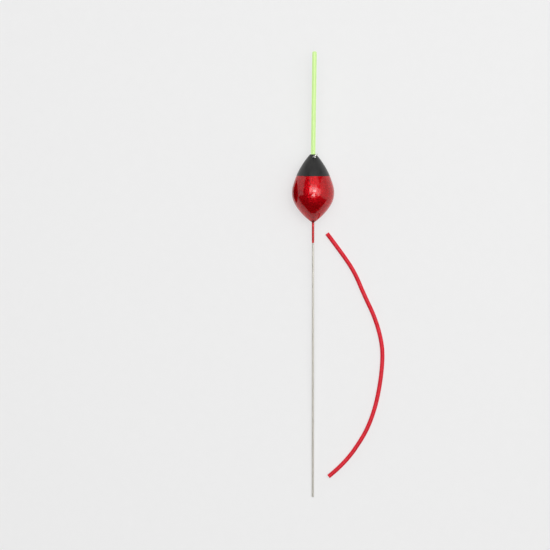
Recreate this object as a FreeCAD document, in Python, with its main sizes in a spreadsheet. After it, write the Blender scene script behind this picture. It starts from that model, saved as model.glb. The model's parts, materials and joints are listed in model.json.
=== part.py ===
import FreeCAD, Part

import math
import os

import Sketcher
from FreeCAD import Vector

# A pole float for coarse fishing, lying on a table on its belly and on the tip of its stem,
# beside the length of silicone tube that is cut into sleeves to hold the line to the stem.
#
# The pieces of the float are drawn upright. Heights run along the float's axis, Z, from the
# tip of the stem to the tip of the antenna. X is to the right, and -Y is the side that faces
# up once the float lies down. One placement then lays all the pieces down together.

# name: (millimetres or degrees, what it is)
DIMENSIONS = {
    "wire_radius": (0.5, "stem wire"),
    "wire_bevel": (0.1, "bevel on the cut tip of the stem"),
    "keyed_radius": (0.45, "stem where it is sanded for paint and glue"),
    "key_taper": (0.7, "length over which that sanding runs out"),
    "wire_end": (143.3, "top of the stem, inside the body"),
    "paint_start": (114.8, "lower end of the paint on the stem"),
    "paint_radius": (0.57, "paint on the stem"),
    "paint_feather": (1.6, "length over which that paint thins out"),
    "bore_radius": (0.55, "bore for the stem"),
    "bore_end": (143.8, "top of the bore for the stem"),
    "neck_height": (124.13, "lower end of the body"),
    "belly_height": (137.35, "widest place of the body"),
    "belly_radius": (9.51, "body at its widest"),
    "belly_arc": (10.88, "radius of the outline at the belly"),
    "upper_turn": (14.95, "turn of the belly arc above the belly"),
    "upper_arc": (34.9, "radius of the outline above that"),
    "lower_turn": (31.4, "turn of the belly arc below the belly"),
    "lower_arc": (23.94, "radius of the outline below that"),
    "colour_line": (144.9, "where red meets black"),
    "body_top": (154.5, "shoulder that the antenna stands in"),
    "coat": (0.15, "thickness of the red and the black lacquer"),
    "sealer": (0.1, "thickness of the sealer under them"),
    "socket_radius": (1.2, "socket for the antenna"),
    "socket_floor": (146.2, "floor of that socket"),
    "spigot_radius": (0.95, "antenna where it is sanded for glue"),
    "spigot_taper": (0.6, "length over which that sanding runs out"),
    "antenna_radius": (1.0, "antenna"),
    "antenna_bore": (0.65, "hollow of the antenna"),
    "antenna_foot": (146.5, "lower end of the antenna, in its socket"),
    "antenna_rim": (199.4, "upper end of the hollow antenna"),
    "antenna_tip": (200.4, "top of the cap on the antenna"),
    "antenna_lean": (0.75, "lean of the antenna and its socket, to the right"),
    "plug_length": (3.0, "plug of the cap inside the antenna"),
    "cap_round": (0.7, "rounding of the cap"),
    "eye_wire": (0.25, "radius of the eye's wire"),
    "eye_ring": (1.25, "radius of the eye's ring, to the middle of the wire"),
    "eye_sweep": (312.0, "how far round the ring goes"),
    "eye_right": (1.0, "centre of the ring, to the right of the axis"),
    "eye_front": (3.5, "centre of the ring, in front of the axis"),
    "eye_height": (154.05, "centre of the ring, along the axis"),
    "eye_lean": (35.0, "lean of the ring's plane, up to the right"),
    "eye_bend": (0.45, "radius of the bend from the ring into the shank"),
    "eye_foot": (147.5, "lower end of the shank"),
    "eye_bore": (0.33, "radius of the hole for the shank"),
    "eye_glue_top": (152.5, "top of the glue in that hole"),
    "tube_radius": (0.95, "silicone tube"),
    "tube_bore": (0.45, "bore of the silicone tube"),
}

# The tube's route across the table, in the frame of the finished part. Each point is a corner
# of the route, rounded off by an arc as wide as its two runs leave room for.
TUBE_ROUTE = [
    (6.4, 18.9),
    (13.2, 9.9),
    (19.0, 1.2),
    (23.0, -8.5),
    (28.2, -19.3),
    (31.4, -31.1),
    (31.4, -41.1),
    (29.5, -54.1),
    (26.7, -64.2),
    (22.7, -73.0),
    (14.3, -84.9),
    (7.1, -90.7),
]
ARC_SHARE = 0.45  # of the shorter run beside a corner, taken up by the arc there

ORIGIN = -1  # Sketcher's number for its origin point and horizontal axis
AXIS = -2  # Sketcher's number for its vertical axis
START, END, CENTRE = 1, 2, 3  # Sketcher's numbers for the points of a line or an arc
UP = Vector(0, 0, 1)

doc = FreeCAD.newDocument("pole_float")
sheet = doc.addObject("Spreadsheet::Sheet", "Dims")
pieces = []


def fill_sheet():
    for row, (name, (value, meaning)) in enumerate(DIMENSIONS.items(), start=1):
        sheet.set(f"A{row}", str(value))
        sheet.setAlias(f"A{row}", name)
        sheet.set(f"B{row}", meaning)
    doc.recompute()


def size(name):
    """The number in a cell of the sheet."""
    return float(sheet.get(name))


def total(terms):
    """The value of a sum of cells, such as "wire_radius - wire_bevel", or 0 for None."""
    value = 0.0
    sign = 1
    for word in (terms or "").split():
        if word in "+-":
            sign = 1 if word == "+" else -1
        else:
            value += sign * size(word)
    return value


def bound(terms):
    """The same sum as an expression, which FreeCAD keeps up to date."""
    return " ".join(word if word in "+-" else f"Dims.{word}" for word in terms.split())


# ---- sketches and features of the turned pieces ----


def new_body(label):
    body = doc.addObject("PartDesign::Body", label)
    body.Label = label
    pieces.append(body)
    return body


def new_sketch(body, name, plane):
    """A sketch on one of the body's own origin planes."""
    sketch = body.newObject("Sketcher::SketchObject", name)
    support = next(f for f in body.Origin.OriginFeatures if f.Role == plane)
    sketch.AttachmentSupport = [(support, "")]
    sketch.MapMode = "FlatFace"
    return sketch


def dimension(sketch, expression, kind, *where):
    """Adds a dimension that follows an expression. The last of `where` is its value now."""
    index = sketch.addConstraint(Sketcher.Constraint(kind, *where))
    sketch.setExpression(f"Constraints[{index}]", expression)


def join_ends(sketch, edges):
    """Closes a ring of edges by joining each one's end to the next one's start."""
    for edge, following in zip(edges, edges[1:] + edges[:1]):
        sketch.addConstraint(Sketcher.Constraint("Coincident", edge, END, following, START))


def profile_sketch(body, name, corners):
    """A half section of straight edges. A corner is (radius, height), each a sum of cells,
    or None where it is nothing."""
    sketch = new_sketch(body, name, "XZ_Plane")
    points = [Vector(total(r), total(height), 0) for r, height in corners]
    edges = [
        sketch.addGeometry(Part.LineSegment(point, following), False)
        for point, following in zip(points, points[1:] + points[:1])
    ]
    join_ends(sketch, edges)
    for edge, point, (r, height) in zip(edges, points, corners):
        if r:
            dimension(sketch, bound(r), "DistanceX", ORIGIN, START, edge, START, point.x)
        else:
            sketch.addConstraint(Sketcher.Constraint("PointOnObject", edge, START, AXIS))
        if height:
            dimension(sketch, bound(height), "DistanceY", ORIGIN, START, edge, START, point.y)
        else:
            sketch.addConstraint(Sketcher.Constraint("PointOnObject", edge, START, ORIGIN))
    return sketch


def outline_sketch(body, name, inset):
    """A half section of the float's body, set in from its painted surface by a sum of cells:
    three arcs that run into each other, between a flat neck and a flat shoulder."""
    skin = total(inset)
    less = f" - ({bound(inset)})" if inset else ""
    belly = size("belly_arc") - skin
    upper = size("upper_arc") - skin
    lower = size("lower_arc") - skin
    up = math.radians(size("upper_turn"))
    down = math.radians(size("lower_turn"))
    neck = size("neck_height")
    top = size("body_top") - skin
    centre = Vector(size("belly_radius") - size("belly_arc"), size("belly_height"), 0)
    upper_centre = centre + Vector(math.cos(up), math.sin(up), 0) * (belly - upper)
    lower_centre = centre + Vector(math.cos(down), -math.sin(down), 0) * (belly - lower)
    at_top = math.asin((top - upper_centre.y) / upper)
    at_neck = math.asin((neck - lower_centre.y) / lower)

    sketch = new_sketch(body, name, "XZ_Plane")

    def arc(middle, radius, first, last):
        circle = Part.Circle(middle, UP, radius)
        return sketch.addGeometry(Part.ArcOfCircle(circle, first, last), False)

    def line(first, last):
        return sketch.addGeometry(Part.LineSegment(first, last), False)

    neck_radius = lower_centre.x + lower * math.cos(at_neck)
    top_radius = upper_centre.x + upper * math.cos(at_top)
    neck_edge = line(Vector(0, neck, 0), Vector(neck_radius, neck, 0))
    lower_edge = arc(lower_centre, lower, at_neck, -down)
    belly_edge = arc(centre, belly, -down, up)
    upper_edge = arc(upper_centre, upper, up, at_top)
    top_edge = line(Vector(top_radius, top, 0), Vector(0, top, 0))
    axis_edge = line(Vector(0, top, 0), Vector(0, neck, 0))

    smooth = ((lower_edge, belly_edge), (belly_edge, upper_edge))
    for edge, following in smooth:
        sketch.addConstraint(Sketcher.Constraint("Tangent", edge, END, following, START))
    cornered = (
        (neck_edge, lower_edge),
        (upper_edge, top_edge),
        (top_edge, axis_edge),
        (axis_edge, neck_edge),
    )
    for edge, following in cornered:
        sketch.addConstraint(Sketcher.Constraint("Coincident", edge, END, following, START))
    sketch.addConstraint(Sketcher.Constraint("Horizontal", neck_edge))
    sketch.addConstraint(Sketcher.Constraint("Horizontal", top_edge))
    sketch.addConstraint(Sketcher.Constraint("PointOnObject", axis_edge, START, AXIS))
    sketch.addConstraint(Sketcher.Constraint("PointOnObject", axis_edge, END, AXIS))

    def height(expression, edge, point, value):
        dimension(sketch, expression, "DistanceY", ORIGIN, START, edge, point, value)

    dimension(sketch, f"Dims.belly_arc{less}", "Radius", belly_edge, belly)
    dimension(sketch, f"Dims.upper_arc{less}", "Radius", upper_edge, upper)
    dimension(sketch, f"Dims.lower_arc{less}", "Radius", lower_edge, lower)
    across = "Dims.belly_radius - Dims.belly_arc"
    dimension(sketch, across, "DistanceX", ORIGIN, START, belly_edge, CENTRE, centre.x)
    height("Dims.belly_height", belly_edge, CENTRE, centre.y)
    rise = f"Dims.belly_height + (Dims.belly_arc{less}) * sin(Dims.upper_turn)"
    height(rise, belly_edge, END, centre.y + belly * math.sin(up))
    fall = f"Dims.belly_height - (Dims.belly_arc{less}) * sin(Dims.lower_turn)"
    height(fall, belly_edge, START, centre.y - belly * math.sin(down))
    height("Dims.neck_height", neck_edge, START, neck)
    height(f"Dims.body_top{less}", top_edge, END, top)
    return sketch


def lean_right(sketch):
    """Leans a section with the antenna, about the middle of the shoulder."""
    sketch.setExpression("AttachmentOffset.Base.x", "-Dims.body_top * sin(Dims.antenna_lean)")
    sketch.setExpression("AttachmentOffset.Base.y", "Dims.body_top * (1 - cos(Dims.antenna_lean))")
    sketch.setExpression("AttachmentOffset.Rotation.Angle", "-Dims.antenna_lean")
    return sketch


def turn(body, sketch):
    """Turns a half section about its own upright axis into a solid."""
    feature = body.newObject("PartDesign::Revolution", f"{sketch.Name}_turned")
    feature.Profile = sketch
    feature.ReferenceAxis = (sketch, ["V_Axis"])
    feature.Angle = 360
    return feature


def turn_out(body, sketch):
    """Cuts a half section, turned about its own upright axis, out of the body."""
    feature = body.newObject("PartDesign::Groove", f"{sketch.Name}_cut")
    feature.Profile = sketch
    feature.ReferenceAxis = (sketch, ["V_Axis"])
    feature.Angle = 360
    return feature


def turned_piece(label, corners):
    body = new_body(label)
    turn(body, profile_sketch(body, f"{label}_section", corners))
    return body


def leaning_piece(label, corners):
    body = new_body(label)
    turn(body, lean_right(profile_sketch(body, f"{label}_section", corners)))
    return body


def round_section(body, name, radius, low, high):
    """The half section of everything within a radius of the axis, between two heights."""
    corners = [(None, low), (radius, low), (radius, high), (None, high)]
    return profile_sketch(body, f"{body.Label}_{name}", corners)


def cut_round(body, name, radius, low, high):
    turn_out(body, round_section(body, name, radius, low, high))


# ---- the drilled body and its coats ----


def shank_place():
    """Where the eye's shank stands: (X, Y)."""
    lean = math.radians(size("eye_lean"))
    right = size("eye_right") + size("eye_bend") * (math.sin(lean) - 1)
    return right, size("eye_ring") - size("eye_front")


SHANK_RIGHT = "Dims.eye_right + Dims.eye_bend * (sin(Dims.eye_lean) - 1)"
SHANK_FRONT = "Dims.eye_front - Dims.eye_ring"


def shank_circle(sketch, radius):
    """A circle round the eye's shank, of a radius that a cell holds."""
    right, y = shank_place()
    circle = sketch.addGeometry(Part.Circle(Vector(right, y, 0), UP, size(radius)), False)
    dimension(sketch, SHANK_RIGHT, "DistanceX", ORIGIN, START, circle, CENTRE, right)
    dimension(sketch, f"-({SHANK_FRONT})", "DistanceY", ORIGIN, START, circle, CENTRE, y)
    dimension(sketch, f"Dims.{radius}", "Radius", circle, size(radius))


def shank_sketch(body, name):
    """A level sketch at the foot of the eye's shank."""
    sketch = new_sketch(body, name, "XY_Plane")
    sketch.setExpression("AttachmentOffset.Base.z", "Dims.eye_foot")
    return sketch


def drill_for_stem(body):
    cut_round(body, "stem_bore", "bore_radius", "neck_height", "bore_end")


def drill_for_antenna(body):
    """The socket leans with the antenna, so its section runs on past the level shoulder."""
    above = "body_top + coat"
    socket = round_section(body, "socket", "socket_radius", "socket_floor", above)
    turn_out(body, lean_right(socket))


def drill_for_eye(body):
    sketch = shank_sketch(body, f"{body.Label}_eye_hole")
    shank_circle(sketch, "eye_bore")
    doc.recompute()
    before = body.Shape.Volume
    pocket = body.newObject("PartDesign::Pocket", f"{body.Label}_eye_pocket")
    pocket.Profile = sketch
    pocket.Type = "ThroughAll"
    pocket.Reversed = True
    doc.recompute()
    if body.Shape.Volume >= before:
        raise RuntimeError(f"{body.Label}: the hole for the eye cut nothing")


def balsa_core():
    body = new_body("balsa_core")
    turn(body, outline_sketch(body, "balsa_outline", "coat + sealer"))
    drill_for_stem(body)
    drill_for_antenna(body)
    drill_for_eye(body)


def hollow_coat(label, outer, inner):
    """A shell round the core, between two insets from the painted surface."""
    body = new_body(label)
    turn(body, outline_sketch(body, f"{label}_outside", outer))
    turn_out(body, outline_sketch(body, f"{label}_inside", inner))
    return body


def sealer_coat():
    body = hollow_coat("sealer_coat", "coat", "coat + sealer")
    drill_for_stem(body)
    drill_for_antenna(body)
    drill_for_eye(body)


def red_coat():
    body = hollow_coat("red_coat", None, "coat")
    cut_round(body, "upper_part", "belly_radius + coat", "colour_line", "body_top")
    drill_for_stem(body)


def black_cap():
    body = hollow_coat("black_cap", None, "coat")
    cut_round(body, "lower_part", "belly_radius + coat", "neck_height", "colour_line")
    drill_for_antenna(body)
    drill_for_eye(body)


# ---- stem, antenna and their glue ----


def stem_wire():
    turned_piece(
        "stem_wire",
        [
            (None, None),
            ("wire_radius - wire_bevel", None),
            ("wire_radius", "wire_bevel"),
            ("wire_radius", "paint_start"),
            ("keyed_radius", "paint_start + key_taper"),
            ("keyed_radius", "wire_end"),
            (None, "wire_end"),
        ],
    )


def stem_paint():
    turned_piece(
        "stem_paint",
        [
            ("wire_radius", "paint_start"),
            ("paint_radius", "paint_start + paint_feather"),
            ("paint_radius", "neck_height"),
            ("keyed_radius", "neck_height"),
            ("keyed_radius", "paint_start + key_taper"),
        ],
    )


def stem_glue():
    turned_piece(
        "stem_glue",
        [
            ("keyed_radius", "neck_height"),
            ("bore_radius", "neck_height"),
            ("bore_radius", "bore_end"),
            (None, "bore_end"),
            (None, "wire_end"),
            ("keyed_radius", "wire_end"),
        ],
    )


def antenna_tube():
    leaning_piece(
        "antenna_tube",
        [
            ("antenna_bore", "antenna_foot"),
            ("spigot_radius", "antenna_foot"),
            ("spigot_radius", "body_top - spigot_taper"),
            ("antenna_radius", "body_top"),
            ("antenna_radius", "antenna_rim"),
            ("antenna_bore", "antenna_rim"),
        ],
    )


def antenna_glue():
    leaning_piece(
        "antenna_glue",
        [
            (None, "socket_floor"),
            ("socket_radius", "socket_floor"),
            ("socket_radius", "body_top"),
            ("antenna_radius", "body_top"),
            ("spigot_radius", "body_top - spigot_taper"),
            ("spigot_radius", "antenna_foot"),
            (None, "antenna_foot"),
        ],
    )


def antenna_cap():
    body = leaning_piece(
        "antenna_cap",
        [
            (None, "antenna_rim - plug_length"),
            ("antenna_bore", "antenna_rim - plug_length"),
            ("antenna_bore", "antenna_rim"),
            ("antenna_radius", "antenna_rim"),
            ("antenna_radius", "antenna_tip"),
            (None, "antenna_tip"),
        ],
    )
    doc.recompute()
    turned = body.Tip
    top = size("antenna_tip")
    around_top = [
        f"Edge{number}"
        for number, edge in enumerate(turned.Shape.Edges, start=1)
        if edge.BoundBox.ZMin > top - size("cap_round") and edge.BoundBox.XLength > 0
    ]
    rounding = body.newObject("PartDesign::Fillet", "antenna_cap_rounding")
    rounding.Base = (turned, around_top)
    rounding.setExpression("Radius", "Dims.cap_round")


# ---- line eye ----


def eye_glue():
    body = new_body("eye_glue")
    sketch = shank_sketch(body, "eye_glue_section")
    shank_circle(sketch, "eye_bore")
    shank_circle(sketch, "eye_wire")
    sleeve = body.newObject("PartDesign::Pad", "eye_glue_sleeve")
    sleeve.Profile = sketch
    sleeve.setExpression("Length", "Dims.eye_glue_top - Dims.eye_foot")


def round_sweep(path, radius):
    """A round bar along a path."""
    start = path.OrderedVertexes[0].Point
    first = path.OrderedEdges[0]
    tangent = first.tangentAt(first.FirstParameter)
    section = Part.Wire([Part.Circle(start, tangent, radius).toShape()])
    return path.makePipeShell([section], True, False)


def line_eye():
    """One bent wire: an open ring that the line runs through, and a shank in the body."""
    lean = math.radians(size("eye_lean"))
    ring = size("eye_ring")
    bend = size("eye_bend")
    along = Vector(math.cos(lean), 0, math.sin(lean))
    front = Vector(0, -1, 0)
    centre = Vector(size("eye_right"), -size("eye_front"), size("eye_height"))

    def on_ring(degrees):
        """A point of the ring, counted from its place next to the body."""
        angle = math.radians(degrees)
        return centre + along * (ring * math.sin(angle)) - front * (ring * math.cos(angle))

    sweep = size("eye_sweep")
    foot_of_ring = on_ring(0)
    loop = Part.Arc(on_ring(sweep), on_ring(sweep / 2), foot_of_ring)
    bend_centre = foot_of_ring + Vector(math.sin(lean), 0, -math.cos(lean)) * bend
    half_turn = (math.pi / 2 - lean) / 2
    bend_middle = bend_centre + Vector(-math.cos(half_turn), 0, math.sin(half_turn)) * bend
    bend_foot = bend_centre + Vector(-bend, 0, 0)
    turn_in = Part.Arc(foot_of_ring, bend_middle, bend_foot)
    shank = Part.LineSegment(bend_foot, Vector(bend_foot.x, bend_foot.y, size("eye_foot")))
    path = Part.Wire([loop.toShape(), turn_in.toShape(), shank.toShape()])

    eye = doc.addObject("Part::Feature", "line_eye")
    eye.Label = "line_eye"
    eye.Shape = round_sweep(path, size("eye_wire"))
    pieces.append(eye)


# ---- silicone tube ----


def rounded_path(corners):
    """Straight runs between the corners, joined by tangent arcs as wide as the runs allow."""
    edges = []
    reached = corners[0]
    for before, corner, after in zip(corners, corners[1:], corners[2:]):
        incoming = (corner - before).normalize()
        outgoing = (after - corner).normalize()
        turn_angle = incoming.getAngle(outgoing)
        set_back = ARC_SHARE * min((corner - before).Length, (after - corner).Length)
        radius = set_back / math.tan(turn_angle / 2)
        print(f"tube: turn of {math.degrees(turn_angle):.1f} degrees, radius {radius:.1f} mm")
        arc_start = corner - incoming * set_back
        arc_end = corner + outgoing * set_back
        inward = (outgoing - incoming).normalize()
        arc_middle = corner + inward * (radius / math.cos(turn_angle / 2) - radius)
        edges.append(Part.LineSegment(reached, arc_start).toShape())
        edges.append(Part.Arc(arc_start, arc_middle, arc_end).toShape())
        reached = arc_end
    edges.append(Part.LineSegment(reached, corners[-1]).toShape())
    return Part.Wire(edges)


def silicone_tube():
    """The tube lies on the table, open and cut square at both ends."""
    radius = size("tube_radius")
    bore = size("tube_bore")
    path = rounded_path([Vector(x, y, radius) for x, y in TUBE_ROUTE])
    tube = doc.addObject("Part::Feature", "silicone_tube")
    tube.Label = "silicone_tube"
    tube.Shape = round_sweep(path, radius).cut(round_sweep(path, bore))
    expected = math.pi * (radius**2 - bore**2) * path.Length
    print(f"tube: {path.Length:.1f} mm long, volume {tube.Shape.Volume:.1f} mm3")
    print(f"tube: section times length is {expected:.1f} mm3")
    return tube


# ---- the finished part ----


def lying_down():
    """Lays the float on the floor, Z = 0, on its belly and on the lower edge of its tip."""
    bevel = size("wire_bevel")
    reach = size("belly_height") - bevel
    lift = size("belly_arc") - size("belly_radius") + size("wire_radius")
    tilt = math.asin(size("belly_arc") / math.hypot(reach, lift)) - math.atan2(lift, reach)
    tip_height = size("wire_radius") * math.cos(tilt) - bevel * math.sin(tilt)
    half_length = size("antenna_tip") / 2 * math.cos(tilt)
    print(f"the float lies at {math.degrees(tilt):.3f} degrees")
    turned = FreeCAD.Rotation(Vector(1, 0, 0), math.degrees(tilt) - 90)
    return FreeCAD.Placement(Vector(0, -half_length, tip_height), turned)


def check():
    for item in doc.Objects:
        if "Invalid" in item.State or "Error" in item.State:
            raise RuntimeError(f"{item.Label} failed: {item.State}")
    for item in doc.findObjects("Sketcher::SketchObject"):
        if not item.FullyConstrained:
            raise RuntimeError(f"{item.Label} is not fully constrained")
    for piece in pieces:
        shape = piece.Shape
        if shape.isNull() or not shape.isValid() or len(shape.Solids) != 1:
            raise RuntimeError(f"{piece.Label} is not one valid solid")


def main():
    fill_sheet()
    stem_wire()
    stem_paint()
    stem_glue()
    balsa_core()
    sealer_coat()
    red_coat()
    black_cap()
    antenna_tube()
    antenna_glue()
    antenna_cap()
    line_eye()
    eye_glue()
    doc.recompute()
    placement = lying_down()
    for piece in pieces:
        piece.Placement = placement
    pieces.append(silicone_tube())
    doc.recompute()
    check()
    os.makedirs("parts", exist_ok=True)
    for piece in pieces:
        piece.Shape.exportStep(f"parts/{piece.Label}.step")
        print(f"{piece.Label}: {piece.Shape.Volume:.2f} mm3")


main()
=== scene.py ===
import json
import math

import bpy
from mathutils import Matrix, Vector


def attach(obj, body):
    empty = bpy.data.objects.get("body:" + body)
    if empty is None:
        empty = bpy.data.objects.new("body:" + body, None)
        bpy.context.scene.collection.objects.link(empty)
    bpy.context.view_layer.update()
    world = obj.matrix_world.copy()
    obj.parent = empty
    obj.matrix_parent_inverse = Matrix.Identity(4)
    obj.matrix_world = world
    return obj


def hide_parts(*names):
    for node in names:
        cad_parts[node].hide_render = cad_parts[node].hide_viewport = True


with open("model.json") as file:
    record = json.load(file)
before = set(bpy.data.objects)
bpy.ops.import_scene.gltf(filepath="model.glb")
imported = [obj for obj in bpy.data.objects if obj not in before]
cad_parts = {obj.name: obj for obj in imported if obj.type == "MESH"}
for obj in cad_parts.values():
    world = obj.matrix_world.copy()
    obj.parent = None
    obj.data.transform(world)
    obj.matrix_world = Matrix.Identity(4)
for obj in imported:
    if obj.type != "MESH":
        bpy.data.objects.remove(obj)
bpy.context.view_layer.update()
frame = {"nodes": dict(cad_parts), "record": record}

MM = 0.001

# The float's body: its outline is three arcs that run into each other. Heights run along the
# float's axis from the tip of the stem.
BELLY_HEIGHT = 137.35 * MM
BELLY_RADIUS = 9.51 * MM
BELLY_ARC = 10.88 * MM
UPPER_TURN = math.radians(14.95)
UPPER_ARC = 34.9 * MM
LOWER_TURN = math.radians(31.4)
LOWER_ARC = 23.94 * MM
NECK_HEIGHT = 124.13 * MM
COLOUR_LINE = 144.9 * MM
BODY_TOP = 154.5 * MM
COAT = 0.15 * MM
SOCKET_RADIUS = 1.2 * MM
BORE_RADIUS = 0.55 * MM

# The stem, its paint and the antenna.
WIRE_RADIUS = 0.5 * MM
WIRE_BEVEL = 0.1 * MM
KEYED_RADIUS = 0.45 * MM
KEY_TAPER = 0.7 * MM
WIRE_END = 143.3 * MM
PAINT_START = 114.8 * MM
PAINT_FEATHER = 1.6 * MM
PAINT_RADIUS = 0.57 * MM
ANTENNA_RADIUS = 1.0 * MM
ANTENNA_BORE = 0.65 * MM
SPIGOT_RADIUS = 0.95 * MM
SPIGOT_TAPER = 0.6 * MM
ANTENNA_FOOT = 146.5 * MM
ANTENNA_RIM = 199.4 * MM
ANTENNA_TIP = 200.4 * MM
PLUG_LENGTH = 3.0 * MM
CAP_ROUND = 0.7 * MM

# Heights of the points that the record's mounts state, each along its mount's own axis.
STEM_MOUNT_HEIGHT = 57.45 * MM
ANTENNA_MOUNT_HEIGHT = 177.1 * MM

# The silicone tube and its route across the table, as in the CAD part.
TUBE_RADIUS = 0.95 * MM
TUBE_BORE = 0.45 * MM
TUBE_ROUTE = [
    (6.4, 18.9),
    (13.2, 9.9),
    (19.0, 1.2),
    (23.0, -8.5),
    (28.2, -19.3),
    (31.4, -31.1),
    (31.4, -41.1),
    (29.5, -54.1),
    (26.7, -64.2),
    (22.7, -73.0),
    (14.3, -84.9),
    (7.1, -90.7),
]

# The camera looks straight down on the table.
CAMERA_PLACE = Vector((-17.05, 0.18, 1200.0)) * MM
PICTURE_WIDTH = 246.9 * MM  # what the picture takes in across, at the float's own height
FLOAT_HEIGHT = 6.7 * MM
SENSOR_WIDTH = 36.0
VIEW_END = 10.0  # metres that the camera sees

# The room's own faint light, and the pale backdrop that only the camera sees.
ROOM_LIGHT = 0.02
BACKDROP_LIGHT = 0.84
TABLE_HALF = 3.0  # metres from the frame's origin to the table's edges

# The card beside the body that paints a dark reflection into its left side: its place along X, its
# middle along Y, half its width and the height of its rounded top.
CARD_LEFT = -21.0 * MM
CARD_MIDDLE = 37.0 * MM
CARD_HALF = 11.5 * MM
CARD_TOP = 16.0 * MM

# The softboxes overhead, in metres from the frame's origin: name, left and right edge along
# X, near and far edge along Y, and radiance. The camera looks down between them.
CEILING = 1.0
LAYER_GAP = 0.005
OVERHEAD = [
    ("far_wide", -0.40, 0.62, 0.04, 0.44, 2.2),
    ("far_middle", -0.30, 0.38, 0.06, 0.42, 2.2),
    ("far_core", -0.02, 0.30, 0.04, 0.21, 6.0),
    ("far_core_edge", -0.02, 0.24, 0.21, 0.38, 1.5),
    ("far_end", -0.30, 0.37, 0.44, 0.59, 1.8),
    ("far_ceiling", -0.50, 0.80, 0.59, 1.30, 0.6),
    ("right_of_camera", 0.12, 0.62, -0.12, 0.04, 3.0),
    ("left_of_camera", -0.40, -0.20, -0.12, 0.04, 2.0),
    ("near_core", -0.09, 0.20, -0.30, -0.12, 8.5),
    ("near_core_edge", 0.02, 0.28, -0.12, -0.04, 2.5),
    ("near_right", 0.36, 0.71, -0.32, -0.12, 2.3),
    ("near_tail", -0.20, 0.18, -0.50, -0.30, 1.4),
    ("right_wide", 0.62, 0.95, -0.24, 0.40, 1.6),
]

# The softboxes beside the float: name, place, the way it faces, width, height and radiance.
WALLS = [
    ("left_wall", (-1.3, 0.45, 0.46), (1, 0, 0), 1.4, 0.88, 0.9),
    ("right_wall", (1.2, 0.2, 0.7), (-1, 0, 0), 1.5, 1.35, 0.65),
    ("far_wall", (0, 1.3, 0.5), (0, -1, 0), 2.4, 1.0, 0.7),
]

# The red lacquer's flakes, how far they tip the light, and the waves in the gloss over them.
FLAKE_SIZE = 0.22 * MM
FLAKE_TILT = 0.34
PEEL_SIZE = 0.8 * MM

# The painted shade in the crease at the neck, which darkens the colour and the gloss: its middle,
# the distances from there at which it starts to fade and has gone, and what its darkest part keeps
# of the colour and the gloss.
NECK_SHADE_MIDDLE = NECK_HEIGHT + 0.2 * MM
NECK_SHADE_HALF = 0.2 * MM
NECK_SHADE_END = 0.8 * MM
NECK_SHADE_DARKEST = 0.45

# How finely the meshes are divided.
BODY_SIDES = 128
ANTENNA_SIDES = 64
WIRE_SIDES = 48
TUBE_SIDES = 40
TUBE_STEPS = 24  # between two points of the tube's route
CARD_SIDES = 24  # round the dark card's top
RED_STEPS = 110
RED_INSIDE_STEPS = 60
BLACK_STEPS = 60
BLACK_INSIDE_STEPS = 40
CORNER_STEPS = 8  # round the antenna's cap
SHARP_ANGLE = math.radians(35)  # edges sharper than this stay crisp

# The paint line's wander: the height over which it fades, and its waves, each with a height in
# millimetres, the number of them round the body and where they start.
WANDER_FADE = 0.6 * MM
WANDER_WAVES = [(0.035, 2, 0.6), (0.02, 5, 2.1)]

# Heights above the neck at which the body's outline starts, outside and inside the coat.
NECK_LIP = 0.15 * MM
NECK_INSIDE = 2 * COAT


# ---- places ----


def mount(name):
    return next(m for m in frame["record"]["mounts"] if m["name"] == name)


def upright_place(along, point, height):
    """Turns axes with Z along a direction, and -Y facing up, into the frame's. The point is at
    a height along that Z."""
    along = along.normalized()
    under = along.cross(Vector((1, 0, 0))).normalized()
    place = Matrix((under.cross(along), under, along)).transposed().to_4x4()
    place.translation = point - along * height
    return place


# The float's own axes, and those of its antenna, which leans a little to the right.
FLOAT_PLACE = upright_place(
    -Vector(mount("stem")["axis"]), Vector(mount("stem")["pos_m"]), STEM_MOUNT_HEIGHT
)
ANTENNA_PLACE = upright_place(
    Vector(mount("antenna")["axis"]), Vector(mount("antenna")["pos_m"]), ANTENNA_MOUNT_HEIGHT
)


def body_radius(height, inset=0.0):
    """Radius of the body's outline at a height, set in from the painted surface."""
    belly = BELLY_ARC - inset
    centre = BELLY_RADIUS - BELLY_ARC
    if height > BELLY_HEIGHT + belly * math.sin(UPPER_TURN):
        arc = UPPER_ARC - inset
        centre += (BELLY_ARC - UPPER_ARC) * math.cos(UPPER_TURN)
        middle = BELLY_HEIGHT + (BELLY_ARC - UPPER_ARC) * math.sin(UPPER_TURN)
    elif height < BELLY_HEIGHT - belly * math.sin(LOWER_TURN):
        arc = LOWER_ARC - inset
        centre += (BELLY_ARC - LOWER_ARC) * math.cos(LOWER_TURN)
        middle = BELLY_HEIGHT - (BELLY_ARC - LOWER_ARC) * math.sin(LOWER_TURN)
    else:
        arc = belly
        middle = BELLY_HEIGHT
    return centre + math.sqrt(arc * arc - (height - middle) ** 2)


def outline(low, high, steps, inset=0.0):
    """Points (radius, height) up the body's outline."""
    heights = [low + (high - low) * i / steps for i in range(steps + 1)]
    return [(body_radius(height, inset), height) for height in heights]


# ---- meshes ----


def mesh_piece(name, points, faces):
    mesh = bpy.data.meshes.new(name)
    mesh.from_pydata(points, [], faces)
    mesh.validate()
    mesh.update()
    piece = bpy.data.objects.new(name, mesh)
    bpy.context.scene.collection.objects.link(piece)
    return piece


def smooth(piece):
    piece.data.shade_smooth()
    piece.data.set_sharp_from_angle(angle=SHARP_ANGLE)


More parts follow.
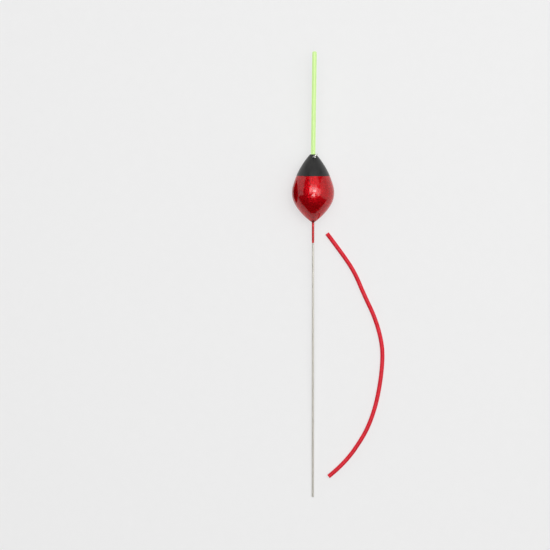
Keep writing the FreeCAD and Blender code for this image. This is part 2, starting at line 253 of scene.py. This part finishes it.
def turned(name, section, sides=BODY_SIDES, ripple=None, place=FLOAT_PLACE):
    """A closed solid, turned from a closed section of (radius, height) corners that runs
    upwards on its outside. A radius of 0 is on the axis. ripple(angle, radius, height) gives
    the radius and height of a point that isn't quite true."""
    points = []
    rings = []
    for radius, height in section:
        if radius == 0:
            rings.append([len(points)])
            points.append(place @ Vector((0, 0, height)))
            continue
        rings.append(list(range(len(points), len(points) + sides)))
        for i in range(sides):
            angle = 2 * math.pi * i / sides
            r, h = ripple(angle, radius, height) if ripple else (radius, height)
            points.append(place @ Vector((r * math.cos(angle), r * math.sin(angle), h)))
    faces = []
    for below, above in zip(rings, rings[1:] + rings[:1]):
        if len(below) == 1 and len(above) == 1:
            continue
        for i in range(sides):
            j = (i + 1) % sides
            corners = (
                below[i % len(below)],
                below[j % len(below)],
                above[j % len(above)],
                above[i % len(above)],
            )
            faces.append(tuple(dict.fromkeys(corners)))
    piece = mesh_piece(name, points, faces)
    smooth(piece)
    return piece


def corner_arc(radius, height, size):
    """Points round a convex corner, from its upright side to its level top."""
    angles = [math.pi / 2 * i / CORNER_STEPS for i in range(CORNER_STEPS + 1)]
    return [
        (radius - size + size * math.cos(a), height - size + size * math.sin(a))
        for a in angles
    ]


# ---- materials ----


def new_material(name):
    made = bpy.data.materials.new(name)
    made.use_nodes = True
    nodes = made.node_tree.nodes
    nodes.clear()
    shader = nodes.new("ShaderNodeBsdfPrincipled")
    output = nodes.new("ShaderNodeOutputMaterial")
    made.node_tree.links.new(shader.outputs["BSDF"], output.inputs["Surface"])
    return made, shader


def add(made, kind, **settings):
    node = made.node_tree.nodes.new(kind)
    for name, value in settings.items():
        setattr(node, name, value)
    return node


def link(made, source, target):
    made.node_tree.links.new(source, target)


def float_coordinates(made, stretch=(1, 1, 1)):
    """Coordinates in the float's own axes, for a pattern stretched along each of them."""
    where = add(made, "ShaderNodeTexCoord")
    mapping = add(made, "ShaderNodeMapping", vector_type="TEXTURE")
    mapping.inputs["Location"].default_value = FLOAT_PLACE.translation
    mapping.inputs["Rotation"].default_value = FLOAT_PLACE.to_euler()
    mapping.inputs["Scale"].default_value = stretch
    link(made, where.outputs["Object"], mapping.inputs["Vector"])
    return mapping.outputs["Vector"]


def noise(made, vector, size, detail=2.0):
    """A cloudy pattern, from 0 to 1, of a size in metres."""
    texture = add(made, "ShaderNodeTexNoise")
    texture.inputs["Scale"].default_value = 1 / size
    texture.inputs["Detail"].default_value = detail
    link(made, vector, texture.inputs["Vector"])
    return texture.outputs["Fac"]


def ramp(made, factor, stops):
    """A colour ramp of (place, (red, green, blue)) stops."""
    node = add(made, "ShaderNodeValToRGB")
    colours = node.color_ramp
    while len(colours.elements) < len(stops):
        colours.elements.new(0.5)
    for element, (place, colour) in zip(colours.elements, stops):
        element.position = place
        element.color = (*colour, 1)
    link(made, factor, node.inputs["Fac"])
    return node.outputs["Color"]


def spread(made, factor, low, high):
    """Spreads a 0 to 1 value over another range."""
    node = add(made, "ShaderNodeMapRange")
    node.inputs["To Min"].default_value = low
    node.inputs["To Max"].default_value = high
    link(made, factor, node.inputs["Value"])
    return node.outputs["Result"]


def bump(made, height, strength, distance):
    """A normal that a pattern of heights tips."""
    node = add(made, "ShaderNodeBump")
    node.inputs["Strength"].default_value = strength
    node.inputs["Distance"].default_value = distance
    link(made, height, node.inputs["Height"])
    return node.outputs["Normal"]


def flake_normal(made, colour, tilt):
    """The surface's normal, tipped a random way in each flake."""
    centred = add(made, "ShaderNodeVectorMath", operation="SUBTRACT")
    centred.inputs[1].default_value = (0.5, 0.5, 0.5)
    link(made, colour, centred.inputs[0])
    tipped = add(made, "ShaderNodeVectorMath", operation="SCALE")
    tipped.inputs["Scale"].default_value = tilt
    link(made, centred.outputs["Vector"], tipped.inputs[0])
    surface = add(made, "ShaderNodeNewGeometry")
    total = add(made, "ShaderNodeVectorMath", operation="ADD")
    link(made, surface.outputs["Normal"], total.inputs[0])
    link(made, tipped.outputs["Vector"], total.inputs[1])
    unit = add(made, "ShaderNodeVectorMath", operation="NORMALIZE")
    link(made, total.outputs["Vector"], unit.inputs[0])
    return unit.outputs["Vector"]


def painted_neck_shade(made, where):
    """Painted shade: darker and less glossy round the neck of the body, in the crease where the
    body meets the stem.
    """
    apart = add(made, "ShaderNodeSeparateXYZ")
    link(made, where, apart.inputs["Vector"])
    above = add(made, "ShaderNodeMath", operation="SUBTRACT")
    above.inputs[1].default_value = NECK_SHADE_MIDDLE
    link(made, apart.outputs["Z"], above.inputs[0])
    away = add(made, "ShaderNodeMath", operation="ABSOLUTE")
    link(made, above.outputs["Value"], away.inputs[0])
    shade = add(made, "ShaderNodeMapRange", interpolation_type="SMOOTHSTEP")
    shade.inputs["From Min"].default_value = NECK_SHADE_HALF
    shade.inputs["From Max"].default_value = NECK_SHADE_END
    shade.inputs["To Min"].default_value = NECK_SHADE_DARKEST
    link(made, away.outputs["Value"], shade.inputs["Value"])
    return shade.outputs["Result"]


def red_lacquer():
    """Red lacquer full of fine metal flakes, under a clear gloss with a little orange peel."""
    made, shader = new_material("red_lacquer")
    where = float_coordinates(made)
    flakes = add(made, "ShaderNodeTexVoronoi")
    flakes.inputs["Scale"].default_value = 1 / FLAKE_SIZE
    link(made, where, flakes.inputs["Vector"])
    apart = add(made, "ShaderNodeSeparateColor")
    link(made, flakes.outputs["Color"], apart.inputs["Color"])
    flake_colour = ramp(
        made,
        apart.outputs["Red"],
        [(0.0, (0.38, 0.001, 0.004)), (0.6, (0.56, 0.002, 0.006)), (1.0, (0.87, 0.01, 0.022))],
    )
    # Painted shade in the crease at the neck: it darkens the flake colour and thins the gloss.
    shade = painted_neck_shade(made, where)
    shaded = add(made, "ShaderNodeVectorMath", operation="SCALE")
    link(made, flake_colour, shaded.inputs[0])
    link(made, shade, shaded.inputs["Scale"])
    link(made, shaded.outputs["Vector"], shader.inputs["Base Color"])
    shader.inputs["Metallic"].default_value = 1.0
    shader.inputs["Roughness"].default_value = 0.57
    shader.inputs["Specular Tint"].default_value = (0.9, 0.03, 0.04, 1)
    link(made, flake_normal(made, flakes.outputs["Color"], FLAKE_TILT), shader.inputs["Normal"])
    link(made, shade, shader.inputs["Coat Weight"])
    shader.inputs["Coat Roughness"].default_value = 0.08
    shader.inputs["Coat IOR"].default_value = 1.5
    peel = noise(made, where, PEEL_SIZE, detail=1.0)
    link(made, bump(made, peel, strength=0.7, distance=0.04 * MM), shader.inputs["Coat Normal"])
    return made


def black_lacquer():
    """Satin black lacquer, dipped and left to run a little towards the shoulder."""
    made, shader = new_material("black_lacquer")
    where = float_coordinates(made, (1, 1, 3))
    runs = noise(made, where, size=1.8 * MM, detail=3.0)
    link(
        made,
        ramp(made, runs, [(0.3, (0.007, 0.007, 0.007)), (0.7, (0.016, 0.0155, 0.015))]),
        shader.inputs["Base Color"],
    )
    link(made, spread(made, runs, low=0.3, high=0.42), shader.inputs["Roughness"])
    fine = noise(made, where, size=0.35 * MM, detail=2.0)
    link(made, bump(made, fine, strength=0.25, distance=0.01 * MM), shader.inputs["Normal"])
    return made


def green_plastic():
    """Fluorescent extruded plastic that lets some light in, with a painted glow that stands in for
    its fluorescence.
    """
    made, shader = new_material("green_plastic")
    where = float_coordinates(made, (1, 1, 50))
    drawn = noise(made, where, size=0.25 * MM, detail=2.0)
    colour = ramp(made, drawn, [(0.25, (0.38, 0.56, 0.19)), (0.75, (0.43, 0.6, 0.22))])
    link(made, colour, shader.inputs["Base Color"])
    shader.inputs["Roughness"].default_value = 0.32
    shader.inputs["Subsurface Weight"].default_value = 0.35
    shader.inputs["Subsurface Radius"].default_value = (1.0, 1.0, 0.6)
    shader.inputs["Subsurface Scale"].default_value = 0.5 * MM
    # Painted glow: the same light whatever lamps fall on it, standing in for the plastic's real
    # fluorescence.
    shader.inputs["Emission Color"].default_value = (0.63, 0.93, 0.35, 1)
    shader.inputs["Emission Strength"].default_value = 0.36
    link(made, bump(made, drawn, strength=0.2, distance=0.01 * MM), shader.inputs["Normal"])
    return made


def drawn_steel(name, low, high, rough):
    """Wire with the fine lines of the drawing die along it and faint stains."""
    made, shader = new_material(name)
    lines = noise(made, float_coordinates(made, (1, 1, 100)), size=0.08 * MM, detail=3.0)
    stains = noise(made, float_coordinates(made, (1, 1, 2.5)), size=1.4 * MM, detail=4.0)
    both = add(made, "ShaderNodeMix", data_type="FLOAT")
    both.inputs["Factor"].default_value = 0.5
    link(made, lines, both.inputs["A"])
    link(made, stains, both.inputs["B"])
    link(
        made,
        ramp(made, both.outputs["Result"], [(0.35, low), (0.65, high)]),
        shader.inputs["Base Color"],
    )
    shader.inputs["Metallic"].default_value = 1.0
    link(made, spread(made, lines, low=rough, high=rough + 0.14), shader.inputs["Roughness"])
    link(made, bump(made, lines, strength=0.3, distance=0.01 * MM), shader.inputs["Normal"])
    return made


def red_silicone():
    """Soft red silicone rubber: satin, slightly see-through, with faint extrusion lines."""
    made, shader = new_material("red_silicone")
    where = float_coordinates(made)
    cloud = noise(made, where, size=2.5 * MM, detail=3.0)
    colour = ramp(made, cloud, [(0.3, (0.62, 0.008, 0.022)), (0.7, (0.72, 0.014, 0.034))])
    link(made, colour, shader.inputs["Base Color"])
    grain = noise(made, where, size=0.18 * MM, detail=2.0)
    link(made, spread(made, grain, low=0.34, high=0.48), shader.inputs["Roughness"])
    shader.inputs["Specular IOR Level"].default_value = 0.22
    link(made, bump(made, grain, strength=0.2, distance=0.01 * MM), shader.inputs["Normal"])
    shader.inputs["Subsurface Weight"].default_value = 0.3
    shader.inputs["Subsurface Radius"].default_value = (1.0, 0.15, 0.15)
    shader.inputs["Subsurface Scale"].default_value = 0.6 * MM
    return made


def balsa():
    """Pale balsa with its grain along the float."""
    made, shader = new_material("balsa")
    grain = noise(made, float_coordinates(made, (1, 1, 20)), size=0.5 * MM, detail=5.0)
    colour = ramp(made, grain, [(0.3, (0.5, 0.34, 0.19)), (0.7, (0.74, 0.58, 0.38))])
    link(made, colour, shader.inputs["Base Color"])
    shader.inputs["Roughness"].default_value = 0.8
    link(made, bump(made, grain, strength=0.4, distance=0.05 * MM), shader.inputs["Normal"])
    return made


def white_sealer():
    """Flat sealer with brush marks round the body."""
    made, shader = new_material("white_sealer")
    marks = noise(made, float_coordinates(made, (10, 10, 1)), size=0.4 * MM, detail=3.0)
    colour = ramp(made, marks, [(0.3, (0.72, 0.71, 0.67)), (0.7, (0.84, 0.83, 0.8))])
    link(made, colour, shader.inputs["Base Color"])
    shader.inputs["Roughness"].default_value = 0.7
    link(made, bump(made, marks, strength=0.3, distance=0.02 * MM), shader.inputs["Normal"])
    return made


def clear_glue():
    """Cured epoxy, amber and a little cloudy."""
    made, shader = new_material("clear_glue")
    cloud = noise(made, float_coordinates(made), size=0.6 * MM, detail=3.0)
    colour = ramp(made, cloud, [(0.3, (0.62, 0.47, 0.24)), (0.7, (0.78, 0.66, 0.42))])
    link(made, colour, shader.inputs["Base Color"])
    link(made, spread(made, cloud, low=0.12, high=0.25), shader.inputs["Roughness"])
    shader.inputs["Transmission Weight"].default_value = 0.5
    return made


def table_top():
    """A white light table, whose own glow keeps the shadows faint."""
    made, shader = new_material("table_top")
    where = float_coordinates(made)
    mottle = noise(made, where, size=4 * MM, detail=4.0)
    colour = ramp(made, mottle, [(0.2, (0.245, 0.245, 0.245)), (0.8, (0.255, 0.255, 0.255))])
    link(made, colour, shader.inputs["Base Color"])
    shader.inputs["Roughness"].default_value = 0.9
    shader.inputs["Specular IOR Level"].default_value = 0.1
    shader.inputs["Emission Color"].default_value = (1, 1, 1, 1)
    shader.inputs["Emission Strength"].default_value = 0.6
    return made


RED = red_lacquer()
BLACK = black_lacquer()
GREEN = green_plastic()
STEEL = drawn_steel("steel_wire", (0.53, 0.515, 0.465), (0.62, 0.6, 0.55), 0.4)
BRIGHT = drawn_steel("bright_wire", (0.78, 0.76, 0.73), (0.94, 0.93, 0.9), 0.24)
SILICONE = red_silicone()
BALSA = balsa()
SEALER = white_sealer()
GLUE = clear_glue()
TABLE = table_top()


# ---- the float's pieces ----


def finish_piece(piece, material, body, node):
    piece.data.materials.append(material)
    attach(piece, body)
    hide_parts(node)


def dip_line(angle, radius, height):
    """A paint line that wanders a little round the body."""
    near_line = max(0.0, 1 - abs(height - COLOUR_LINE) / WANDER_FADE)
    wander = sum(wave * math.sin(count * angle + start) for wave, count, start in WANDER_WAVES)
    return radius, height + wander * MM * near_line


def red_body():
    neck = [(PAINT_RADIUS, NECK_HEIGHT)]
    outside = neck + outline(NECK_HEIGHT + NECK_LIP, COLOUR_LINE, RED_STEPS)
    inside = outline(NECK_HEIGHT + NECK_INSIDE, COLOUR_LINE, RED_INSIDE_STEPS, COAT)
    inside = [(max(radius, BORE_RADIUS), height) for radius, height in reversed(inside)]
    section = outside + inside + [(BORE_RADIUS, NECK_HEIGHT)]
    piece = turned("red_body", section, ripple=dip_line)
    finish_piece(piece, RED, "float", "red_coat")


def black_body():
    top = BODY_TOP - COAT
    outside = outline(COLOUR_LINE, BODY_TOP, BLACK_STEPS)
    inside = outline(COLOUR_LINE, top, BLACK_INSIDE_STEPS, COAT)
    section = (
        outside
        + [(SOCKET_RADIUS, BODY_TOP), (SOCKET_RADIUS, top)]
        + list(reversed(inside))
    )
    piece = turned("black_cap_lacquer", section, ripple=dip_line)
    finish_piece(piece, BLACK, "float", "black_cap")


def painted_stem():
    section = [
        (WIRE_RADIUS, PAINT_START),
        (PAINT_RADIUS, PAINT_START + PAINT_FEATHER),
        (PAINT_RADIUS, NECK_HEIGHT),
        (KEYED_RADIUS, NECK_HEIGHT),
        (KEYED_RADIUS, PAINT_START + KEY_TAPER),
    ]
    piece = turned("stem_dip_paint", section, sides=WIRE_SIDES)
    finish_piece(piece, RED, "float", "stem_paint")


def wire():
    section = [
        (0, 0),
        (WIRE_RADIUS - WIRE_BEVEL, 0),
        (WIRE_RADIUS, WIRE_BEVEL),
        (WIRE_RADIUS, PAINT_START),
        (KEYED_RADIUS, PAINT_START + KEY_TAPER),
        (KEYED_RADIUS, WIRE_END),
        (0, WIRE_END),
    ]
    piece = turned("stem_drawn_wire", section, sides=WIRE_SIDES)
    finish_piece(piece, STEEL, "float", "stem_wire")


def antenna():
    section = [
        (ANTENNA_BORE, ANTENNA_FOOT),
        (SPIGOT_RADIUS, ANTENNA_FOOT),
        (SPIGOT_RADIUS, BODY_TOP - SPIGOT_TAPER),
        (ANTENNA_RADIUS, BODY_TOP),
        (ANTENNA_RADIUS, ANTENNA_RIM),
        (ANTENNA_BORE, ANTENNA_RIM),
    ]
    piece = turned("antenna_plastic", section, sides=ANTENNA_SIDES, place=ANTENNA_PLACE)
    finish_piece(piece, GREEN, "float", "antenna_tube")


def antenna_end():
    section = [
        (0, ANTENNA_RIM - PLUG_LENGTH),
        (ANTENNA_BORE, ANTENNA_RIM - PLUG_LENGTH),
        (ANTENNA_BORE, ANTENNA_RIM),
        (ANTENNA_RADIUS, ANTENNA_RIM),
        *corner_arc(ANTENNA_RADIUS, ANTENNA_TIP, CAP_ROUND),
        (0, ANTENNA_TIP),
    ]
    piece = turned("antenna_end_cap", section, sides=ANTENNA_SIDES, place=ANTENNA_PLACE)
    finish_piece(piece, GREEN, "float", "antenna_cap")


# ---- the silicone tube ----


def route_points():
    """Points along the smooth line that the tube's route controls."""
    curve = bpy.data.curves.new("tube_route", "CURVE")
    curve.dimensions = "3D"
    curve.resolution_u = TUBE_STEPS
    spline = curve.splines.new("NURBS")
    spline.points.add(len(TUBE_ROUTE) - 1)
    for point, (x, y) in zip(spline.points, TUBE_ROUTE):
        point.co = (x * MM, y * MM, TUBE_RADIUS, 1)
    spline.order_u = 3
    spline.use_endpoint_u = True
    holder = bpy.data.objects.new("tube_route", curve)
    line = bpy.data.meshes.new_from_object(holder)
    points = [vertex.co.copy() for vertex in line.vertices]
    bpy.data.objects.remove(holder)
    bpy.data.curves.remove(curve)
    bpy.data.meshes.remove(line)
    return points


def hollow_tube(name, path):
    """A tube along a level path, open at both cut ends."""
    sides = TUBE_SIDES
    up = Vector((0, 0, 1))
    points = []
    for radius in (TUBE_RADIUS, TUBE_BORE):
        for i, place in enumerate(path):
            ahead = path[min(i + 1, len(path) - 1)]
            behind = path[max(i - 1, 0)]
            across = (ahead - behind).normalized().cross(up)
            for k in range(sides):
                angle = 2 * math.pi * k / sides
                points.append(place + (across * math.cos(angle) + up * math.sin(angle)) * radius)
    faces = []
    inner = len(path) * sides
    last = (len(path) - 1) * sides
    for k in range(sides):
        n = (k + 1) % sides
        for i in range(len(path) - 1):
            here = i * sides
            there = here + sides
            faces.append((here + k, there + k, there + n, here + n))
            faces.append((inner + here + k, inner + here + n, inner + there + n, inner + there + k))
        faces.append((k, n, inner + n, inner + k))
        faces.append((last + k, inner + last + k, inner + last + n, last + n))
    piece = mesh_piece(name, points, faces)
    smooth(piece)
    return piece


def loose_tube():
    path = route_points()
    piece = hollow_tube("silicone_tubing", path)
    finish_piece(piece, SILICONE, "loose_tube", "silicone_tube")


# ---- the CAD nodes that stay ----


def dress_nodes():
    """Gives each CAD node that no piece replaces its own material."""
    materials = {
        "line_eye": BRIGHT,
        "balsa_core": BALSA,
        "sealer_coat": SEALER,
        "stem_glue": GLUE,
        "antenna_glue": GLUE,
        "eye_glue": GLUE,
    }
    for name, material in materials.items():
        node = frame["nodes"][name]
        node.data.materials.clear()
        node.data.materials.append(material)
        smooth(node)


# ---- table, light and camera ----


def table():
    corners = [
        (-TABLE_HALF, -TABLE_HALF, 0),
        (TABLE_HALF, -TABLE_HALF, 0),
        (TABLE_HALF, TABLE_HALF, 0),
        (-TABLE_HALF, TABLE_HALF, 0),
    ]
    floor = mesh_piece("table", corners, [(0, 1, 2, 3)])
    floor.data.materials.append(TABLE)


def painted_reflection_card():
    """A dark, rounded card to the left of the body, standing in for a second float that lies there.
    It is a painted reflection: only reflections show it."""
    material, shader = new_material("painted_reflection_card")
    mottle = noise(material, float_coordinates(material), size=3 * MM)
    colour = ramp(material, mottle, [(0.3, (0.03, 0.0, 0.0)), (0.7, (0.06, 0.001, 0.002))])
    link(material, colour, shader.inputs["Base Color"])
    shader.inputs["Roughness"].default_value = 0.9
    angles = [math.pi * i / CARD_SIDES for i in range(CARD_SIDES + 1)]
    corners = [
        (CARD_LEFT, CARD_MIDDLE + CARD_HALF * math.cos(a), CARD_TOP * math.sin(a))
        for a in angles
    ]
    card = mesh_piece("painted_reflection_card", corners, [tuple(range(len(corners)))])
    card.data.materials.append(material)
    # Painted reflection only: the card is hidden from the camera, from diffuse light and from
    # shadows.
    card.visible_camera = False
    card.visible_diffuse = False
    card.visible_transmission = False
    card.visible_shadow = False


def studio():
    """The dark room that the softboxes stand in. The camera sees a pale backdrop instead."""
    world = bpy.data.worlds.new("studio")
    bpy.context.scene.world = world
    world.use_nodes = True
    nodes = world.node_tree.nodes
    nodes.clear()
    links = world.node_tree.links
    path = nodes.new("ShaderNodeLightPath")
    seen = nodes.new("ShaderNodeMapRange")
    seen.inputs["To Min"].default_value = ROOM_LIGHT
    seen.inputs["To Max"].default_value = BACKDROP_LIGHT
    links.new(path.outputs["Is Camera Ray"], seen.inputs["Value"])
    background = nodes.new("ShaderNodeBackground")
    output = nodes.new("ShaderNodeOutputWorld")
    links.new(seen.outputs["Result"], background.inputs["Strength"])
    links.new(background.outputs["Background"], output.inputs["Surface"])


def softbox(name, place, faces, width, height, radiance):
    """An even rectangle of light that faces along a direction."""
    data = bpy.data.lights.new(name, "AREA")
    data.shape = "RECTANGLE"
    data.size = width
    data.size_y = height
    data.energy = radiance * math.pi * width * height
    holder = bpy.data.objects.new(name, data)
    bpy.context.scene.collection.objects.link(holder)
    holder.location = place
    holder.rotation_euler = Vector(faces).to_track_quat("-Z", "Y").to_euler()
    holder.visible_camera = False


def softboxes():
    """Overlapping softboxes round the camera, and three tall ones beside the float. Each
    one overhead hangs a little above the last, because a reflection shows only one of the
    lamps that lie in one plane."""
    for layer, (name, left, right, near, far, radiance) in enumerate(OVERHEAD):
        place = ((left + right) / 2, (near + far) / 2, CEILING + layer * LAYER_GAP)
        softbox(name, place, (0, 0, -1), right - left, far - near, radiance)
    for wall in WALLS:
        softbox(*wall)


def camera():
    data = bpy.data.cameras.new("camera")
    data.sensor_width = SENSOR_WIDTH
    data.lens = SENSOR_WIDTH * (CAMERA_PLACE.z - FLOAT_HEIGHT) / PICTURE_WIDTH
    data.clip_end = VIEW_END
    holder = bpy.data.objects.new("camera", data)
    bpy.context.scene.collection.objects.link(holder)
    holder.location = CAMERA_PLACE
    bpy.context.scene.camera = holder


camera()
loose_tube()
wire()
painted_stem()
red_body()
black_body()
antenna()
antenna_end()
dress_nodes()
table()
painted_reflection_card()
studio()
softboxes()

bpy.context.scene.view_settings.view_transform = "Standard"
